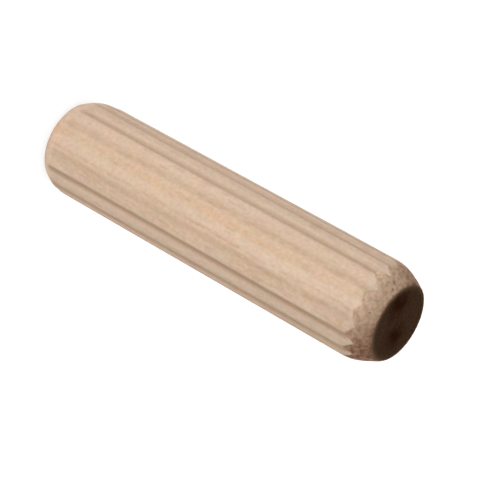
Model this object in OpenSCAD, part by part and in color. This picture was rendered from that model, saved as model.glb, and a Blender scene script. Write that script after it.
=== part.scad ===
// Fluted wooden dowel pin: a short round rod with grooves pressed along it, which let air
// and glue out of a blind hole, and with both ends eased so that it finds the hole.
// It stands on its foot, with +Z along its length and the origin at the middle of the foot.

/* [Rod] */
// Diameter over the crests between the flutes
pin_d = 9.7; // [8:0.1:20]
// Length from the foot's face to the top's face
pin_l = 40; // [20:1:120]

/* [Flutes] */
// Number of flutes round the rod
flute_count = 18; // [6:1:22]
// Width of a flute across its mouth
flute_w = 0.75; // [0.7:0.05:0.9]
// Depth of a flute below its lips
flute_depth = 0.2; // [0.1:0.05:0.35]

/* [Top end] */
// Length of the eased stretch at the top
top_ease_l = 2.7; // [2:0.1:4]
// How far the top's easing comes in from the crests
top_ease_in = 1.2; // [0.8:0.05:1.5]
// How far the top's easing swells out from a straight cone
top_swell = 0.1; // [0.05:0.01:0.15]

/* [Foot end] */
// Length of the eased stretch at the foot
foot_ease_l = 2.4; // [2:0.1:4]
// How far the foot's easing comes in from the crests
foot_ease_in = 0.85; // [0.8:0.05:1.5]
// How far the foot's easing swells out from a straight cone
foot_swell = 0.15; // [0.05:0.01:0.15]

/* [Hidden] */
$fn = 180;
pin_r = pin_d / 2;
flute_pitch = 360 / flute_count;
// A flute's floor is an arc through both lips of its mouth and its lowest line
flute_r = ((flute_w / 2) ^ 2 + flute_depth ^ 2) / (2 * flute_depth);
lip_r = sqrt(pin_r ^ 2 - (flute_w / 2) ^ 2);
flute_axis_r = lip_r - flute_depth + flute_r;
// The easing's curve runs on this far past the crests, so that it meets them in a clean edge
run_past = 0.5;

// Cross-section: a disc with one flute towards +X and the rest evenly round it
module fluted_section() {
    difference() {
        circle(r = pin_r);
        for (i = [0 : flute_count - 1])
            rotate(i * flute_pitch)
                translate([flute_axis_r, 0])
                    circle(r = flute_r);
    }
}

// Half outline of one eased end, with the crests' edge at height 0 and the flat face on top.
// Its slope is an arc from the crests' edge to the face's edge.
module eased_end_outline(ease_l, ease_in, swell) {
    chord = sqrt(ease_l ^ 2 + ease_in ^ 2);
    arc_r = chord ^ 2 / (8 * swell) + swell / 2;
    sunk = (arc_r - swell) / chord;
    intersection() {
        translate([0, -run_past])
            square([pin_r + run_past, ease_l + run_past]);
        translate([pin_r - ease_in / 2 - sunk * ease_l, ease_l / 2 - sunk * ease_in])
            circle(r = arc_r);
    }
}

// The round form that both ends are cut to. Between them it stands clear of the crests.
module eased_form() {
    clear_l = pin_l - foot_ease_l - top_ease_l - 2 * run_past;
    rotate_extrude() {
        translate([0, foot_ease_l + run_past])
            square([pin_r + run_past, clear_l]);
        translate([0, pin_l - top_ease_l])
            eased_end_outline(top_ease_l, top_ease_in, top_swell);
        translate([0, foot_ease_l])
            mirror([0, 1])
                eased_end_outline(foot_ease_l, foot_ease_in, foot_swell);
    }
}

// The whole pin. The flutes run out on the eased ends, where the form is thinner than their floor.
module dowel_pin() {
    color([0.85, 0.74, 0.62])
        intersection() {
            linear_extrude(height = pin_l)
                fluted_section();
            eased_form();
        }
}

dowel_pin();
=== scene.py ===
"""A fluted beech dowel pin that stands on its foot on a pale studio floor."""
import math
import random

import bpy
from mathutils import Matrix, Vector, noise


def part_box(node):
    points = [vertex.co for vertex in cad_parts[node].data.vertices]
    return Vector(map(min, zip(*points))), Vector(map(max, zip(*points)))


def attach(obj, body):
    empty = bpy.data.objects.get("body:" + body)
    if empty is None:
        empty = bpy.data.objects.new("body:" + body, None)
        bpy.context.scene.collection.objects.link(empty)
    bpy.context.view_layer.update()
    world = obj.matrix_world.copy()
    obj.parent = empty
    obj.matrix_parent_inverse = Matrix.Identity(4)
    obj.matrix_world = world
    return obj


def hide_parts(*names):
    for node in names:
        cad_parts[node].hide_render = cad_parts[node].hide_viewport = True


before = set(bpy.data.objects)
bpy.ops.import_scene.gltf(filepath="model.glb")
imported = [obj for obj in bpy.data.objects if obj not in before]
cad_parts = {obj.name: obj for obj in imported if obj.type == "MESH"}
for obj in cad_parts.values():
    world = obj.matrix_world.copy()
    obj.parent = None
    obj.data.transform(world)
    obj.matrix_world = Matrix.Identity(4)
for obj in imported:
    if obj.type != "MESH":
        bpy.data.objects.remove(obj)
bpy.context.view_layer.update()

# Shapes are worked out in millimetres and Blender's units are metres
MM = 0.001
foot_corner, top_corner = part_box("dowel_pin")
PIN_L = (top_corner.z - foot_corner.z) / MM
# The crests lie on the Y axis and flutes on the X axis, so the depth along Y is the diameter
PIN_R = (top_corner.y - foot_corner.y) / 2 / MM

# Flutes, pressed along the rod by a fluted roller. Azimuths are in degrees from -Y towards +X.
FLUTE_COUNT = 18
FLUTE_PITCH = 360 / FLUTE_COUNT
FIRST_FLUTE = 10
FLUTE_DEPTH = 0.2
FLUTE_HALF = 0.42
# The roller bruised the wood a little past each flute's lips, and the darker colour there is partly
# painted shade
BRUISE_AND_SHADE_HALF = 0.52
# It pressed unevenly and hardly touched the front. By azimuth, this is each flute's share of the full
# depth, its share of the full bruise and painted shade, and how many degrees it strays at the foot and
# the top.
UNEVEN_FLUTES = {
    -70: (0.5, 0.45, 4.5, 1.5),
    -50: (0.4, 0.45, -2.5, -0.7),
    -30: (0.48, 0.55, -1.2, -0.6),
    -10: (0.25, 0.2, 0, 0),
    10: (0.05, 0.0, 0, 0),
    30: (0.25, 0.22, 0, 0),
    50: (0.65, 0.8, 0.8, -0.1),
    70: (0.5, 0.68, 4.8, 1.1),
}
# It pressed the other flutes more evenly, within these limits
EVEN_DEPTH, EVEN_BRUISE_AND_SHADE, EVEN_ASTRAY = (0.75, 1.0), (0.65, 0.9), (-0.8, 0.8)
# A flute with less than this share of the depth is a shallow trough this many times as wide
FAINT_SHARE, FAINT_SPREAD = 0.3, 1.4

# Eased ends: length along the rod, how far they come in, and how far they swell from a cone
TOP_EASE = (2.7, 1.2, 0.14)
FOOT_EASE = (2.4, 0.85, 0.21)
# Each easing is this much fuller towards this azimuth, and as much leaner on the far side. That
# fades out over this last stretch to the face.
TOP_FULLER = (0.12, 0, 1.3)
FOOT_FULLER = (0.08, 98, 0.2)
# How softly the fluted side turns into the easings
EASE_BLEND = 0.15

# The cutter that eased the top tore the grain. On the front, between these azimuths, its torn ground
# starts this far below the top face, as (azimuth, depth): deep notches in the flutes, and blunt
# fingers of smooth wood along the crests.
FRONT_FROM, FRONT_TO = -85, 95
TOP_TORN = [
    (-80, 2.1), (-68, 2.8), (-58, 2.0), (-47, 2.25), (-39, 1.45), (-30, 2.5), (-13, 1.3),
    (-3.5, 2.1), (10, 1.75), (19, 2.1), (35, 1.6), (46.5, 2.25), (57, 1.5), (67.5, 2.45),
    (77, 1.75), (90, 2.9),
]
# Behind, notches and fingers start about this far down, and fingers stray by some degrees. Each
# varies within limits.
NOTCH_D, NOTCH_VARIES = 2.25, (-0.35, 0.3)
FINGER_D, FINGER_VARIES = 1.45, (-0.3, 0.25)
FINGER_STRAYS = (-2, 2)
# It chipped the torn ground into more pits round this azimuth, most within the first number of
# degrees of it and fading out by the second
CHIPPED_AZIMUTH, CHIPPED_NEAR, CHIPPED_FAR = -30, 6, 22
# The torn ground's edge is ragged, in coarse and fine jags as (size, reach), and soft by this much
COARSE_JAG, FINE_JAG = (0.3, 0.07), (0.12, 0.05)
TORN_SOFT = 0.09
# Torn wood lies a little below the cut. Its fibres lift in ridges of this size, climbing this much
# for each degree round the rod from this azimuth, with tufts on them and pits between them.
TORN_SUNK, RIDGE_HEIGHT, PIT_DEPTH = 0.01, 0.033, 0.025
RIDGE_SIZE, TUFT_SIZE, PIT_SIZE = 0.42, 0.22, 0.3
RIDGE_AZIMUTH, RIDGE_CLIMB = 100, 0.05
# The foot was cut cleaner: this share as torn at its edge, and not at all from this far up
FOOT_TORN, FOOT_TORN_D = 0.15, 0.7
# The saw left faint strokes of this width and length across the end faces, and opened pores
FACE_SUNK, STROKE_DEPTH, PORE_DEPTH = 0.015, 0.012, 0.025
STROKE_WIDTH, STROKE_LENGTH, PORE_SIZE = 0.5, 3.0, 0.45
# A rolled rod is this far from round, and its flutes vary in depth by this share
OUT_OF_ROUND, FLUTE_WAVER = 0.008, 0.12

# Darker late wood of the growth rings that the front cuts through, as (azimuth, half width in
# degrees, how dark), and how many more such streaks there are behind, between which azimuths
# The streaks at azimuths 68 and 80 are mostly painted shade on that side of the rod, over its late wood.
FRONT_STREAKS_AND_SHADE = [
    (-74, 4, 0.15), (-57, 4, 0.15), (-8, 6, 0.45), (3.5, 9, 0.32), (20, 3.5, 0.5), (28, 7, 0.38),
    (39, 12, 0.35), (68, 6, 0.45), (80, 14, 0.5),
]
HIDDEN_STREAKS, HIDDEN_FROM, HIDDEN_TO = 16, 80, 280
# At the foot they are this share as dark as at the top
STREAKS_AT_FOOT = 0.6
# A seam of gum warms the front, and is strongest at this height
GUM_AZIMUTH, GUM_HALF, GUM_HEIGHT = 2.5, 7, 23
# The cutter rubbed and browned the torn ground of the top, as (azimuth, how much). Towards the sides, at
# azimuths -72 and 86, this browning also paints shade.
TOP_BURNT_AND_SHADE = [(-120, 0.9), (-72, 0.6), (-45, 0.0), (6, 0.0), (86, 1.0), (150, 0.5)]
# Painted shade browns the side's rim all round by this share, beside the top face that is in shade. It
# fades out this far below the top face, and up to a millimetre farther where the torn ground is browned.
RIM_PAINTED_SHADE, RIM_PAINTED_SHADE_D = 0.8, 0.3
# Near the top the smooth wood is freshly cut and paler. As depths below the top face, this starts
# at the first and is full at the second.
FRESH_FROM_D, FRESH_TO_D = 2.8, 1.7

# Dark blots of gum that run right through the rod and show on its ends, as (x, y, size) in mm
BLOTS = [(-1.2, -1.9, 2.2), (1.0, 0.7, 2.0)]

# Mesh: columns round the rod, and rows along it, close together where the torn wood needs them
COLUMNS = 28 * FLUTE_COUNT
FINE_STEP = 0.06
COARSE_STEP = 0.6
TOP_FINE = 3.2
FOOT_FINE = 2.6
# Each end face's edge is rounded to this radius
EDGE_R = 0.36
EDGE_ROWS = 6
FACE_ROWS = 15
# Its middle point lies about as deep as the saw left the rest
FACE_MIDDLE_D = 0.012
# What the beech has to know at each point: five values that come from its shape, and four tones
MARKS = ("rim", "flute", "torn", "pit", "blot", "dark", "gum", "burnt_and_shade", "fresh")


def smooth_step(start, end, value):
    """0 at start and before it, 1 at end and past it, and an S curve between them."""
    share = min(max((value - start) / (end - start), 0.0), 1.0)
    return share * share * (3 - 2 * share)


def smooth_min(a, b, blend):
    """The smaller of a and b, with the corner where they cross rounded off."""
    share = max(blend - abs(a - b), 0.0) / blend
    return min(a, b) - share * share * blend / 4


def turn_between(a, b):
    """Degrees from azimuth b to azimuth a, the short way round."""
    return (a - b + 180) % 360 - 180


def eased_radius(depth, ease):
    """Radius of an eased end at this depth below its face: an arc, which opens out past the easing."""
    length, come_in, swell = ease
    chord = math.hypot(length, come_in)
    arc_r = chord ** 2 / (8 * swell) + swell / 2
    sunk = (arc_r - swell) / chord
    centre_r = PIN_R - come_in / 2 - sunk * length
    centre_up = length / 2 - sunk * come_in
    up = length - min(depth, length) - centre_up
    across = math.sqrt(arc_r ** 2 - up ** 2)
    past = max(depth - length, 0.0)
    return centre_r + across + past * up / across + 0.5 * past ** 2


def fuller(azimuth, depth, uneven):
    """How far an uneven easing stands out here. Its face stays round and in the middle."""
    most, full_azimuth, fading_d = uneven
    return most * math.cos(math.radians(azimuth - full_azimuth)) * smooth_step(0, fading_d, depth)


def all_flutes():
    """Every flute's azimuth, its shares of depth and of bruise and painted shade, and its stray at each
    end.
    """
    draw = random.Random(7)
    flutes = {}
    for i in range(FLUTE_COUNT):
        azimuth = turn_between(FIRST_FLUTE + i * FLUTE_PITCH, 0)
        limits = (EVEN_DEPTH, EVEN_BRUISE_AND_SHADE, EVEN_ASTRAY, EVEN_ASTRAY)
        even = tuple(draw.uniform(low, high) for low, high in limits)
        flutes[azimuth] = UNEVEN_FLUTES.get(azimuth, even)
    return flutes


def flute_shape(azimuth, height, flutes):
    """(how far the surface is pressed in, how darkened by bruise and painted shade, 0 to 1) at a point of
    the side.
    """
    nearest = min(flutes, key=lambda flute: abs(turn_between(azimuth, flute)))
    depth_share, bruise_and_shade_share, foot_astray, top_astray = flutes[nearest]
    astray = foot_astray + (top_astray - foot_astray) * height / PIN_L
    spread = FAINT_SPREAD if depth_share < FAINT_SHARE else 1.0
    aside = math.radians(turn_between(azimuth, nearest) - astray) * PIN_R / spread
    pressed = max(1 - (aside / FLUTE_HALF) ** 2, 0.0) ** 2
    bruised_and_shaded = max(1 - (aside / BRUISE_AND_SHADE_HALF) ** 2, 0.0) ** 2
    return FLUTE_DEPTH * depth_share * pressed, bruise_and_shade_share * bruised_and_shaded


def torn_edges(flutes):
    """Where the top's torn ground starts, as (azimuth, depth below the face) in order round the rod."""
    draw = random.Random(11)
    edges = list(TOP_TORN)
    for flute in flutes:
        if not FRONT_FROM < flute < FRONT_TO:
            edges.append((flute, NOTCH_D + draw.uniform(*NOTCH_VARIES)))
        crest = turn_between(flute + FLUTE_PITCH / 2, 0)
        if not FRONT_FROM < crest < FRONT_TO:
            azimuth = crest + draw.uniform(*FINGER_STRAYS)
            edges.append((azimuth, FINGER_D + draw.uniform(*FINGER_VARIES)))
    return sorted(edges)


def between_marks(azimuth, marks):
    """The value here, from marks round the rod given as (azimuth, value) in order."""
    first, last = marks[0], marks[-1]
    before = max((m for m in marks if m[0] <= azimuth), default=(last[0] - 360, last[1]))
    after = min((m for m in marks if m[0] > azimuth), default=(first[0] + 360, first[1]))
    share = smooth_step(before[0], after[0], azimuth)
    return before[1] + (after[1] - before[1]) * share


def row_heights():
    """Heights in mm of the rows along the whole rod, from the foot up."""
    heights = []
    height = 0.0
    while height < PIN_L:
        heights.append(height)
        near_end = height < FOOT_FINE or height > PIN_L - TOP_FINE
        height += FINE_STEP if near_end else COARSE_STEP
    return heights


def edge_arc(ease):
    """An end's rounded edge as (radius, depth below the face, slope), from the side to the face."""
    step = 0.001
    edge_r = eased_radius(0, ease)
    slope = math.atan((eased_radius(step, ease) - edge_r) / step)
    tangent = EDGE_R * math.tan((math.pi / 2 - slope) / 2)
    centre_r = edge_r - tangent
    points = []
    for i in range(EDGE_ROWS + 1):
        angle = slope + (math.pi / 2 - slope) * i / EDGE_ROWS
        radius = centre_r + EDGE_R * math.cos(angle)
        points.append((radius, EDGE_R - EDGE_R * math.sin(angle), angle))
    return points


def torn_relief(spot, roughness):
    """(how far torn wood lies below the cut, how deep in a pit it is from 0 to 1) at a spot in mm."""
    azimuth = math.degrees(math.atan2(spot.x, -spot.y))
    climb = abs(turn_between(azimuth, RIDGE_AZIMUTH)) * RIDGE_CLIMB
    slant = Vector((spot.x, spot.y, spot.z * 0.5 + climb))
    ridge = noise.noise(slant / RIDGE_SIZE)
    ridge += 0.35 * noise.noise(spot / TUFT_SIZE + Vector((7, 3, 1)))
    chipped = smooth_step(CHIPPED_FAR, CHIPPED_NEAR, abs(turn_between(azimuth, CHIPPED_AZIMUTH)))
    hollow = noise.noise(spot / PIT_SIZE + Vector((0, 2, 6))) + 0.25 * chipped
    pit = smooth_step(0.48, 0.9, hollow)
    return roughness * (TORN_SUNK + RIDGE_HEIGHT * ridge + PIT_DEPTH * pit), pit


def face_relief(spot):
    """How far an end face lies below its plane: faint saw strokes and open pores, in mm."""
    stroke = noise.noise(Vector((spot.x / STROKE_WIDTH, spot.y / STROKE_LENGTH, 0.5)))
    pore = smooth_step(0.2, 0.6, noise.noise(spot / PORE_SIZE))
    return FACE_SUNK + STROKE_DEPTH * stroke + PORE_DEPTH * pore


def blotted(spot):
    """How darkly gum has blotted an end face at a spot in mm, from 0 to 1."""
    darkest = 0.0
    for x, y, size in BLOTS:
        away = math.hypot(spot.x - x, spot.y - y) + 0.5 * noise.noise(spot / 0.8)
        darkest = max(darkest, smooth_step(size, 0, away))
    return darkest


def ring_and_shade_streaks():
    """(azimuth, half width in degrees, how dark) of the streaks of growth rings and of painted shade."""
    draw = random.Random(5)
    streaks = list(FRONT_STREAKS_AND_SHADE)
    for i in range(HIDDEN_STREAKS):
        share = (i + draw.random()) / HIDDEN_STREAKS
        azimuth = HIDDEN_FROM + (HIDDEN_TO - HIDDEN_FROM) * share
        streaks.append((turn_between(azimuth, 0), draw.uniform(1.5, 6), draw.uniform(0.2, 0.6)))
    return streaks


def streak_tone(azimuth, height, streaks):
    """How dark the streaks of growth rings and painted shade are here, from 0 to 1. They fade towards the
    foot.
    """
    dark = 0.0
    for middle, half, strength in streaks:
        aside = turn_between(azimuth, middle) / half
        if abs(aside) < 1:
            uneven = 0.9 + 0.7 * noise.noise(Vector((middle, aside, height / 6)))
            fading = STREAKS_AT_FOOT + (1 - STREAKS_AT_FOOT) * height / PIN_L
            dark += strength * fading * uneven * (1 - aside * aside) ** 2
    return min(dark, 1.0)


def gum_tone(azimuth, height):
    """How much gum there is here, from 0 to 1. It comes and goes along its seam."""
    aside = turn_between(azimuth, GUM_AZIMUTH) / GUM_HALF
    strong = 0.3 + 0.65 * math.exp(-((height - GUM_HEIGHT) / 7) ** 2)
    strong += 0.4 * noise.noise(Vector((0.5, 5.0, height / 3)))
    return max(1 - aside * aside, 0.0) * min(max(strong, 0.0), 1.0)


def wood_tone(azimuth, height, streaks):
    """(how dark the streaks are, how much gum, how browned and painted shaded the top is, how fresh), 0
    to 1.
    """
    depth = PIN_L - height
    burnt_and_shade = between_marks(azimuth, TOP_BURNT_AND_SHADE)
    # Painted shade browns the rim next to the shaded top face
    burnt_and_shade += (1 - burnt_and_shade) * RIM_PAINTED_SHADE * smooth_step(RIM_PAINTED_SHADE_D + burnt_and_shade, 0, depth)
    fresh = smooth_step(FRESH_FROM_D, FRESH_TO_D, depth)
    return streak_tone(azimuth, height, streaks), gum_tone(azimuth, height), burnt_and_shade, fresh


def pin_point(azimuth, radius, height, streaks, shape_marks):
    """A point of the pin as (its place in metres, its values for MARKS)."""
    angle = math.radians(azimuth)
    place = (math.sin(angle) * radius * MM, -math.cos(angle) * radius * MM, height * MM)
    return place, (*shape_marks, *wood_tone(azimuth, height, streaks))


def side_point(azimuth, height, flutes, edges, streaks):
    """A point of the fluted side and its easings."""
    pressed, flute = flute_shape(azimuth, height, flutes)
    angle = math.radians(azimuth)
    spot = Vector((math.sin(angle) * PIN_R, -math.cos(angle) * PIN_R, height))
    uneven = OUT_OF_ROUND * noise.noise(Vector((spot.x / 2, spot.y / 2, height / 9)))
    waver = 1 + FLUTE_WAVER * noise.noise(Vector((azimuth / 11, 0.3, height / 4)))
    section = PIN_R - pressed * waver - uneven
    depth = PIN_L - height
    eased_top = eased_radius(depth, TOP_EASE) + fuller(azimuth, depth, TOP_FULLER)
    eased_foot = eased_radius(height, FOOT_EASE) + fuller(azimuth, height, FOOT_FULLER)
    eased = min(eased_top, eased_foot)
    radius = smooth_min(section, eased, EASE_BLEND)
    # The easing cuts the bruise and its painted shade away with the flute
    flute *= smooth_step(FLUTE_DEPTH * 1.4, 0.02, PIN_R - eased)
    torn, pit = 0.0, 0.0
    if depth < TOP_FINE:
        start = between_marks(azimuth, edges)
        for size, reach in (COARSE_JAG, FINE_JAG):
            start += reach * noise.noise(spot / size)
        torn = smooth_step(-TORN_SOFT, TORN_SOFT, start - depth)
        relief, pit = torn_relief(spot, 1.0)
        radius -= torn * relief
    elif height < FOOT_FINE:
        torn = FOOT_TORN * smooth_step(FOOT_TORN_D, 0, height)
        relief, pit = torn_relief(spot, 0.5)
        radius -= torn * relief
    return pin_point(azimuth, radius, height, streaks, (1.0, flute, torn, pit * torn, 0.0))


def end_point(azimuth, radius, depth, slope, face_r, is_top, streaks):
    """A point of an end's rounded edge or face, from its radius, depth below the face and slope."""
    torn, uneven = (1.0, TOP_FULLER) if is_top else (FOOT_TORN, FOOT_FULLER)
    angle = math.radians(azimuth)
    spot = Vector((math.sin(angle) * radius, -math.cos(angle) * radius, depth * 2))
    relief, pit = torn_relief(spot + Vector((0, 0, PIN_L if is_top else 0)), torn)
    face_share = math.sin(slope) ** 4
    sunk = relief * (1 - face_share) + face_relief(spot) * face_share
    out = radius + fuller(azimuth, depth, uneven) - sunk * math.cos(slope)
    down = depth + sunk * math.sin(slope)
    ragged = 0.1 * noise.noise(spot / 0.4)
    rim = smooth_step(face_r - 0.3, face_r + 0.2, radius + ragged)
    height = PIN_L - down if is_top else down
    return pin_point(azimuth, out, height, streaks, (rim, 0.0, torn, pit * torn, blotted(spot)))


def side_rows(azimuths, streaks):
    """The side's rows of points, from the foot's rounded edge up to the top's."""
    flutes = all_flutes()
    edges = torn_edges(flutes)
    lowest = edge_arc(FOOT_EASE)[0][1] + FINE_STEP / 2
    highest = PIN_L - edge_arc(TOP_EASE)[0][1] - FINE_STEP / 2
    heights = [height for height in row_heights() if lowest <= height <= highest]
    return [
        [side_point(azimuth, height, flutes, edges, streaks) for azimuth in azimuths]
        for height in heights
    ]


def end_rows(azimuths, streaks, is_top):
    """The rows of points from an end's rounded edge in to near the middle of its face."""
    arc = edge_arc(TOP_EASE if is_top else FOOT_EASE)
    face_r = arc[-1][0]
    steps_in = [1 - (i + 1) / (FACE_ROWS + 1) for i in range(FACE_ROWS)]
    profile = arc + [(face_r * share, 0.0, math.pi / 2) for share in steps_in]
    return [
        [end_point(azimuth, *at, face_r, is_top, streaks) for azimuth in azimuths]
        for at in profile
    ]


def row_faces(count):
    """Faces between this many rows of points. The two points after them close the foot and the top."""
    faces = []
    neighbours = [(i, (i + 1) % COLUMNS) for i in range(COLUMNS)]
    last_row = (count - 1) * COLUMNS
    for low in range(0, last_row, COLUMNS):
        high = low + COLUMNS
        faces += [(low + i, low + j, high + j, high + i) for i, j in neighbours]
    foot_middle = count * COLUMNS
    top_middle = foot_middle + 1
    faces += [(j, i, foot_middle) for i, j in neighbours]
    faces += [(last_row + i, last_row + j, top_middle) for i, j in neighbours]
    return faces


def build_pin():
    """The whole rod as one closed mesh, with what the beech needs to know stored on its points."""
    azimuths = [turn_between(360 * i / COLUMNS, 0) for i in range(COLUMNS)]
    streaks = ring_and_shade_streaks()
    foot = end_rows(azimuths, streaks, is_top=False)
    top = end_rows(azimuths, streaks, is_top=True)
    rows = foot[::-1] + side_rows(azimuths, streaks) + top
    points = [point for row in rows for point in row]
    for height in (FACE_MIDDLE_D, PIN_L - FACE_MIDDLE_D):
        points.append(pin_point(0, 0, height, streaks, (0.0, 0.0, 0.0, 0.0, 0.0)))

    mesh = bpy.data.meshes.new("beech_pin")
    mesh.from_pydata([place for place, values in points], [], row_faces(len(rows)))
    for i, name in enumerate(MARKS):
        attribute = mesh.attributes.new(name, "FLOAT", "POINT")
        attribute.data.foreach_set("value", [values[i] for place, values in points])
    # Slot 0 is wood along the grain. Slot 1 is end grain, from early on each rounded edge inwards.
    end_grain_rows = FACE_ROWS + EDGE_ROWS - 2
    for index, face in enumerate(mesh.polygons):
        is_side = end_grain_rows <= index // COLUMNS < len(rows) - 1 - end_grain_rows
        face.use_smooth = True
        face.material_index = 0 if is_side else 1
    mesh.validate()
    pin = bpy.data.objects.new("beech_pin", mesh)
    bpy.context.scene.collection.objects.link(pin)
    return pin


def colour(hex_value):
    """A hex sRGB colour as linear RGBA."""
    shares = [int(hex_value[i:i + 2], 16) / 255 for i in (1, 3, 5)]
    linear = [s / 12.92 if s <= 0.04045 else ((s + 0.055) / 1.055) ** 2.4 for s in shares]
    return (*linear, 1.0)


def add(tree, kind, inputs=None, **settings):
    """Adds a shader node. An input given as a socket is linked, and any other is set to its value."""
    made = tree.nodes.new("ShaderNode" + kind)
    for name, value in settings.items():
        setattr(made, name, value)
    for name, value in (inputs or {}).items():
        if isinstance(value, bpy.types.NodeSocket):
            tree.links.new(value, made.inputs[name])
        else:
            made.inputs[name].default_value = value
    return made


def new_material(name):
    """An empty material and its node tree."""
    material = bpy.data.materials.new(name)
    material.use_nodes = True
    material.node_tree.nodes.clear()
    return material, material.node_tree


# The rod was riven from a board, so growth rings cross it as gentle arcs round a pith far to one
# side. Rays run out from the pith, and show as short dark flecks where the rings lie along the
# surface.
RAY_AZIMUTH = 28
PITH_AWAY = 70 * MM
RING_WIDTH = 0.9 * MM


def growth_rings(tree, place):
    """Early to late wood of the growth rings, from 0 to 1, at a place in the solid wood."""
    angle = math.radians(RAY_AZIMUTH)
    pith = (-math.sin(angle) * PITH_AWAY, math.cos(angle) * PITH_AWAY, 0)
    # The pith runs nearly along the rod, so height hardly counts in the distance from it
    away = add(tree, "Mapping", {
        "Vector": place,
        "Location": pith,
        "Scale": (1, 1, 40),
    }, vector_type="TEXTURE")
    from_pith = add(tree, "VectorMath", {0: away.outputs[0]}, operation="LENGTH").outputs["Value"]
    rings_out = add(tree, "Math", {
        0: from_pith,
        1: 1 / RING_WIDTH,
    }, operation="MULTIPLY").outputs[0]
    # Rings wander by part of a ring along the rod, as grain is never quite straight
    wander_at = add(tree, "Mapping", {
        "Vector": place,
        "Scale": (4 * MM, 4 * MM, 18 * MM),
    }, vector_type="TEXTURE")
    wander = add(tree, "TexNoise", {
        "Vector": wander_at.outputs[0],
        "Scale": 1.0,
        "Detail": 1.0,
    }).outputs["Fac"]
    ring_at = add(tree, "Math", {
        0: wander,
        1: 1.6,
        2: rings_out,
    }, operation="MULTIPLY_ADD").outputs[0]
    return add(tree, "TexNoise", {
        "W": ring_at,
        "Scale": 1.0,
        "Detail": 2.0,
    }, noise_dimensions="1D").outputs["Fac"]


def ray_flecks(tree, place, wood):
    """The wood with the short dark flecks that its rays leave, a few tenths of a mm wide."""
    ray_at = add(tree, "Mapping", {
        "Vector": place,
        "Rotation": (0, 0, math.radians(RAY_AZIMUTH)),
        "Scale": (0.42 * MM, 6 * MM, 1.9 * MM),
    }, vector_type="TEXTURE")
    ray = add(tree, "TexVoronoi", {"Vector": ray_at.outputs[0], "Scale": 1.0})
    spot = add(tree, "MapRange", {
        "Value": ray.outputs["Distance"],
        "From Min": 0.42,
        "From Max": 0.2,
    }, interpolation_type="SMOOTHSTEP").outputs[0]
    strength = add(tree, "SeparateColor", {0: ray.outputs["Color"]}).outputs[0]
    fleck = add(tree, "Math", {0: spot, 1: strength}, operation="MULTIPLY").outputs[0]
    share = add(tree, "Math", {0: fleck, 1: 0.2}, operation="MULTIPLY").outputs[0]
    return add(tree, "MixRGB", {
        "Fac": share,
        "Color1": wood,
        "Color2": colour("#b08a6a"),
    }).outputs[0]


def late_wood_shade_and_gum(tree, place, wood):
    """The wood with its late wood, streaks of painted shade and gum, in broken dashes a millimetre or so
    long.
    """
    dark = add(tree, "Attribute", attribute_name="dark").outputs["Fac"]
    gum = add(tree, "Attribute", attribute_name="gum").outputs["Fac"]
    dash_at = add(tree, "Mapping", {
        "Vector": place,
        "Scale": (0.36 * MM, 0.36 * MM, 1.1 * MM),
    }, vector_type="TEXTURE")
    dash = add(tree, "TexNoise", {
        "Vector": dash_at.outputs[0],
        "Scale": 1.0,
        "Detail": 2.0,
    }).outputs["Fac"]
    dark_dash = add(tree, "MapRange", {
        "Value": dash,
        "From Min": 0.35,
        "From Max": 0.65,
        "To Min": 0.45,
        "To Max": 1.65,
    }).outputs[0]
    dark_share = add(tree, "Math", {
        0: dark,
        1: dark_dash,
    }, operation="MULTIPLY", use_clamp=True).outputs[0]
    # Late wood, and the painted shade of two streaks, in a darker brown
    wood = add(tree, "MixRGB", {
        "Fac": dark_share,
        "Color1": wood,
        "Color2": colour("#c7a280"),
    }).outputs[0]
    gum_dash = add(tree, "MapRange", {
        "Value": dash,
        "From Min": 0.72,
        "From Max": 0.38,
    }).outputs[0]
    gum_share = add(tree, "Math", {0: gum, 1: gum_dash}, operation="MULTIPLY").outputs[0]
    return add(tree, "MixRGB", {
        "Fac": gum_share,
        "Color1": wood,
        "Color2": colour("#d9b088"),
    }).outputs[0]


def speckled(tree, place, wood):
    """The wood with its pores and tumbled fibre ends. Real ones are half this size and wouldn't show."""
    speckle_at = add(tree, "Mapping", {
        "Vector": place,
        "Scale": (0.29 * MM, 0.29 * MM, 0.38 * MM),
    }, vector_type="TEXTURE")
    speckle = add(tree, "TexNoise", {
        "Vector": speckle_at.outputs[0],
        "Scale": 1.0,
        "Detail": 1.0,
    }).outputs["Fac"]
    share = add(tree, "MapRange", {
        "Value": speckle,
        "From Min": 0.25,
        "From Max": 0.75,
    }).outputs[0]
    # Times as bright in red, green and blue, from the palest specks to the darkest
    tint = add(tree, "MixRGB", {
        "Fac": share,
        "Color1": (1.06, 1.08, 1.1, 1),
        "Color2": (0.94, 0.92, 0.9, 1),
    }).outputs[0]
    return add(tree, "MixRGB", {
        "Fac": 1.0,
        "Color1": wood,
        "Color2": tint,
    }, blend_type="MULTIPLY").outputs[0]


def patchy(tree, place, wood):
    """The wood with faint patches a millimetre or two across, pinker or yellower than the rest."""
    patch_at = add(tree, "Mapping", {
        "Vector": place,
        "Scale": (1.2 * MM, 1.2 * MM, 2 * MM),
    }, vector_type="TEXTURE")
    patch = add(tree, "TexNoise", {
        "Vector": patch_at.outputs[0],
        "Scale": 1.0,
        "Detail": 1.0,
    }).outputs["Color"]
    # The patches' own colours average mid grey, which the lighter first colour makes up for
    tint = add(tree, "MixRGB", {
        "Fac": 0.13,
        "Color1": (1.075, 1.075, 1.075, 1),
        "Color2": patch,
    }).outputs[0]
    return add(tree, "MixRGB", {
        "Fac": 1.0,
        "Color1": wood,
        "Color2": tint,
    }, blend_type="MULTIPLY").outputs[0]


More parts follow.
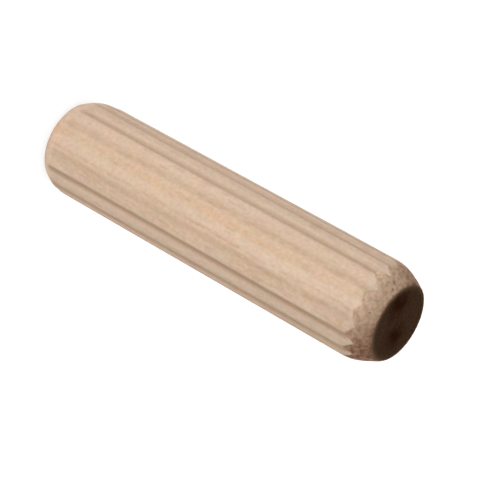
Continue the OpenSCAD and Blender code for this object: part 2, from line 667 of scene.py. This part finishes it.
def torn_fibres(tree, place):
    """Colour of torn fibres: mottled, with brown pits, browned where the cutter rubbed and as painted
    shade.
    """
    burnt_and_shade = add(tree, "Attribute", attribute_name="burnt_and_shade").outputs["Fac"]
    pit = add(tree, "Attribute", attribute_name="pit").outputs["Fac"]
    scrap_at = add(tree, "Mapping", {
        "Vector": place,
        "Scale": (0.42 * MM, 0.42 * MM, 0.36 * MM),
    }, vector_type="TEXTURE")
    scrap = add(tree, "TexNoise", {
        "Vector": scrap_at.outputs[0],
        "Scale": 1.0,
        "Detail": 2.5,
    }).outputs["Fac"]
    share = add(tree, "MapRange", {"Value": scrap, "From Min": 0.38, "From Max": 0.62}).outputs[0]
    pale = add(tree, "MixRGB", {
        "Fac": share,
        "Color1": colour("#e3c1a4"),
        "Color2": colour("#ccaa8d"),
    }).outputs[0]
    brown = add(tree, "MixRGB", {
        "Fac": share,
        "Color1": colour("#bb8c6c"),
        "Color2": colour("#80573e"),
    }).outputs[0]
    # Browned torn wood, which is also painted shade at the rim and towards the sides
    wood = add(tree, "MixRGB", {"Fac": burnt_and_shade, "Color1": pale, "Color2": brown}).outputs[0]
    return add(tree, "MixRGB", {
        "Fac": pit,
        "Color1": wood,
        "Color2": colour("#ab8467"),
    }).outputs[0]


def beech_long_grain():
    """Beech along the grain, turned and pressed smooth, which looks silky and pale pinkish brown."""
    material, tree = new_material("beech_long_grain")
    place = add(tree, "TexCoord").outputs["Object"]
    flute = add(tree, "Attribute", attribute_name="flute").outputs["Fac"]
    torn = add(tree, "Attribute", attribute_name="torn").outputs["Fac"]
    fresh = add(tree, "Attribute", attribute_name="fresh").outputs["Fac"]

    # Growth rings give soft bands of pinker and browner wood, and freshly cut wood is paler
    ring_share = add(tree, "MapRange", {
        "Value": growth_rings(tree, place),
        "From Min": 0.3,
        "From Max": 0.7,
    }).outputs[0]
    wood = add(tree, "MixRGB", {
        "Fac": ring_share,
        "Color1": colour("#dfc4ab"),
        "Color2": colour("#d9bca2"),
    }).outputs[0]
    wood = add(tree, "MixRGB", {
        "Fac": fresh,
        "Color1": wood,
        "Color2": colour("#eed4bb"),
    }).outputs[0]

    wood = late_wood_shade_and_gum(tree, place, wood)
    wood = ray_flecks(tree, place, wood)
    wood = speckled(tree, place, wood)
    wood = patchy(tree, place, wood)
    # Pressing the flutes bruised and burnished their floors darker, and this colour also paints their
    # shade
    wood = add(tree, "MixRGB", {
        "Fac": flute,
        "Color1": wood,
        "Color2": colour("#a98768"),
    }).outputs[0]
    wood = add(tree, "MixRGB", {
        "Fac": torn,
        "Color1": wood,
        "Color2": torn_fibres(tree, place),
    }).outputs[0]

    # Fine fibres catch the light as a silky sheen along the rod, and torn ones are dull
    fibre_at = add(tree, "Mapping", {
        "Vector": place,
        "Scale": (0.16 * MM, 0.16 * MM, 2.2 * MM),
    }, vector_type="TEXTURE")
    fibre = add(tree, "TexNoise", {
        "Vector": fibre_at.outputs[0],
        "Scale": 1.0,
        "Detail": 2.0,
    }).outputs["Fac"]
    bump = add(tree, "Bump", {
        "Height": fibre,
        "Strength": 0.25,
        "Distance": 0.02 * MM,
    }).outputs[0]
    rough = add(tree, "MapRange", {"Value": torn, "To Min": 0.62, "To Max": 0.9}).outputs[0]
    shader = add(tree, "BsdfPrincipled", {
        "Base Color": wood,
        "Roughness": rough,
        "Specular IOR Level": 0.3,
        "Normal": bump,
    })
    add(tree, "OutputMaterial", {"Surface": shader.outputs[0]})
    return material


def beech_end_grain():
    """Sawn beech end grain, whose open pores drink the light: dull, and deep brown partly as painted
    shade.
    """
    material, tree = new_material("beech_end_grain")
    place = add(tree, "TexCoord").outputs["Object"]
    blot = add(tree, "Attribute", attribute_name="blot").outputs["Fac"]
    rim = add(tree, "Attribute", attribute_name="rim").outputs["Fac"]
    ring_share = add(tree, "MapRange", {
        "Value": growth_rings(tree, place),
        "From Min": 0.35,
        "From Max": 0.65,
    }).outputs[0]
    # End grain, drawn darker than sawn beech partly as painted shade on the shaded top face
    wood = add(tree, "MixRGB", {
        "Fac": ring_share,
        "Color1": colour("#89664c"),
        "Color2": colour("#815e46"),
    }).outputs[0]
    wood = add(tree, "MixRGB", {
        "Fac": blot,
        "Color1": wood,
        "Color2": colour("#603322"),
    }).outputs[0]

    # Real pores are half this size and wouldn't show
    pore = add(tree, "TexNoise", {
        "Vector": place,
        "Scale": 1 / (0.25 * MM),
        "Detail": 1.0,
    }).outputs["Fac"]
    pore_share = add(tree, "MapRange", {
        "Value": pore,
        "From Min": 0.5,
        "From Max": 0.75,
        "To Max": 0.6,
    }).outputs[0]
    wood = add(tree, "MixRGB", {
        "Fac": pore_share,
        "Color1": wood,
        "Color2": colour("#4e3122"),
    }).outputs[0]
    # Fibres of the eased side are folded over the rim, in a brown toned down as painted shade
    wood = add(tree, "MixRGB", {
        "Fac": rim,
        "Color1": wood,
        "Color2": colour("#a58468"),
    }).outputs[0]

    bump = add(tree, "Bump", {
        "Height": pore,
        "Strength": 0.3,
        "Distance": -0.03 * MM,
    }).outputs[0]
    shader = add(tree, "BsdfPrincipled", {
        "Base Color": wood,
        "Roughness": 0.95,
        "Specular IOR Level": 0.0,
        "Normal": bump,
    })
    add(tree, "OutputMaterial", {"Surface": shader.outputs[0]})
    return material


# Light of the room, as a share of what would show a colour as written
ROOM_LIGHT = 0.18
# The floor reaches this far from the pin on all four sides
FLOOR_HALF = 300 * MM
# Low soft boxes round the pin, as (name, azimuth, watts). They end below the top face, which stays
# in shade.
LOW_LAMPS = [
    ("front_left", -25, 0.036),
    ("front_right", 20, 0.0465),
    ("back_left", -150, 0.055),
    ("back_right", 163, 0.055),
]
LOW_LAMP_AWAY = 140 * MM
LOW_LAMP_SIZE = (80 * MM, 34 * MM)
# Their lower edges hang this far above the paper
LOW_LAMP_GAP = 2 * MM
# A wide lamp high above, which lights only the paper
PAPER_LAMP_UP = 900 * MM
PAPER_LAMP_SIZE = (1200 * MM, 1200 * MM)
PAPER_LAMP_WATTS = 11.6

# A long lens, in mm, and the angles of the camera in degrees
CAMERA_LENS = 168.8
CAMERA_AZIMUTH, CAMERA_ELEVATION, CAMERA_ROLL = 7.5, 30.85, 119.32
# From the middle of the pin, in radii of the pin: to the camera's right, up and back
CAMERA_OFFSET = (0.2182, -0.2247, 42.752)


def seen_share(tree):
    """1 for rays that show the background itself: from the camera, off gloss or through glass."""
    path = add(tree, "LightPath")
    first = add(tree, "Math", {
        0: path.outputs["Is Camera Ray"],
        1: path.outputs["Is Glossy Ray"],
    }, operation="MAXIMUM").outputs[0]
    return add(tree, "Math", {
        0: first,
        1: path.outputs["Is Transmission Ray"],
    }, operation="MAXIMUM").outputs[0]


def light_room():
    """A white room to look at, which gives the pin only a little light of its own."""
    world = bpy.data.worlds.new("room")
    bpy.context.scene.world = world
    world.use_nodes = True
    tree = world.node_tree
    tree.nodes.clear()
    strength = add(tree, "MapRange", {"Value": seen_share(tree), "To Min": ROOM_LIGHT}).outputs[0]
    background = add(tree, "Background", {"Color": colour("#ffffff"), "Strength": strength})
    add(tree, "OutputWorld", {"Surface": background.outputs[0]})


def studio_paper():
    """Matt white paper. Seen directly it is plain white, and only the pin's shadow dulls it."""
    material, tree = new_material("studio_paper")
    bounce = add(tree, "BsdfDiffuse", {"Color": colour("#eaeaea")})
    # What is seen glows nearly white by itself, and the lamps and the pin's shadow do the rest
    shaded = add(tree, "BsdfDiffuse", {"Color": colour("#7c7c7c")})
    glow = add(tree, "Emission", {"Color": colour("#ffffff"), "Strength": 0.82})
    shown = add(tree, "AddShader", {0: shaded.outputs[0], 1: glow.outputs[0]})
    shader = add(tree, "MixShader", {
        0: seen_share(tree),
        1: bounce.outputs[0],
        2: shown.outputs[0],
    })
    add(tree, "OutputMaterial", {"Surface": shader.outputs[0]})
    return material


def lay_floor():
    """A sheet of paper under the pin, far wider than the camera sees."""
    corners = [(x * FLOOR_HALF, y * FLOOR_HALF, 0) for x, y in ((-1, -1), (1, -1), (1, 1), (-1, 1))]
    mesh = bpy.data.meshes.new("floor")
    mesh.from_pydata(corners, [], [(0, 1, 2, 3)])
    mesh.materials.append(studio_paper())
    floor = bpy.data.objects.new("floor", mesh)
    bpy.context.scene.collection.objects.link(floor)
    return floor


def add_lamp(name, place, aim, size, watts):
    """A soft rectangular lamp that the camera doesn't see."""
    data = bpy.data.lights.new(name, "AREA")
    data.shape = "RECTANGLE"
    data.size, data.size_y = size
    data.energy = watts
    lamp = bpy.data.objects.new(name, data)
    lamp.location = place
    lamp.rotation_euler = (Vector(aim) - Vector(place)).to_track_quat("-Z", "Y").to_euler()
    lamp.visible_camera = False
    bpy.context.scene.collection.objects.link(lamp)
    return lamp


def hang_lamps(floor):
    """The low lamps for the pin's sides, and the paper's own lamp, whose light bounces up from it."""
    middle = LOW_LAMP_SIZE[1] / 2 + LOW_LAMP_GAP
    for name, azimuth, watts in LOW_LAMPS:
        angle = math.radians(azimuth)
        place = (math.sin(angle) * LOW_LAMP_AWAY, -math.cos(angle) * LOW_LAMP_AWAY, middle)
        add_lamp(name, place, (0, 0, middle), LOW_LAMP_SIZE, watts)
    above = (0, 0, PAPER_LAMP_UP)
    paper_lamp = add_lamp("paper_lamp", above, (0, 0, 0), PAPER_LAMP_SIZE, PAPER_LAMP_WATTS)
    only_paper = bpy.data.collections.new("paper_only")
    only_paper.objects.link(floor)
    paper_lamp.light_linking.receiver_collection = only_paper


def set_camera():
    """Looks down on the pin from the front, rolled so that its top points to the lower right."""
    data = bpy.data.cameras.new("camera")
    data.lens = CAMERA_LENS
    data.clip_start, data.clip_end = 0.01, 10
    turn = Matrix.Rotation(math.radians(CAMERA_AZIMUTH), 4, "Z")
    turn = turn @ Matrix.Rotation(math.radians(90 - CAMERA_ELEVATION), 4, "X")
    turn = turn @ Matrix.Rotation(math.radians(CAMERA_ROLL), 4, "Z")
    middle = Vector((0, 0, PIN_L / 2 * MM))
    place = middle + turn.to_3x3() @ (Vector(CAMERA_OFFSET) * PIN_R * MM)
    camera = bpy.data.objects.new("camera", data)
    camera.matrix_world = Matrix.Translation(place) @ turn
    bpy.context.scene.collection.objects.link(camera)
    bpy.context.scene.camera = camera


bpy.context.scene.view_settings.view_transform = "Standard"
set_camera()
light_room()
hang_lamps(lay_floor())
pin = build_pin()
pin.data.materials.append(beech_long_grain())
pin.data.materials.append(beech_end_grain())
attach(pin, "root")
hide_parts("dowel_pin")
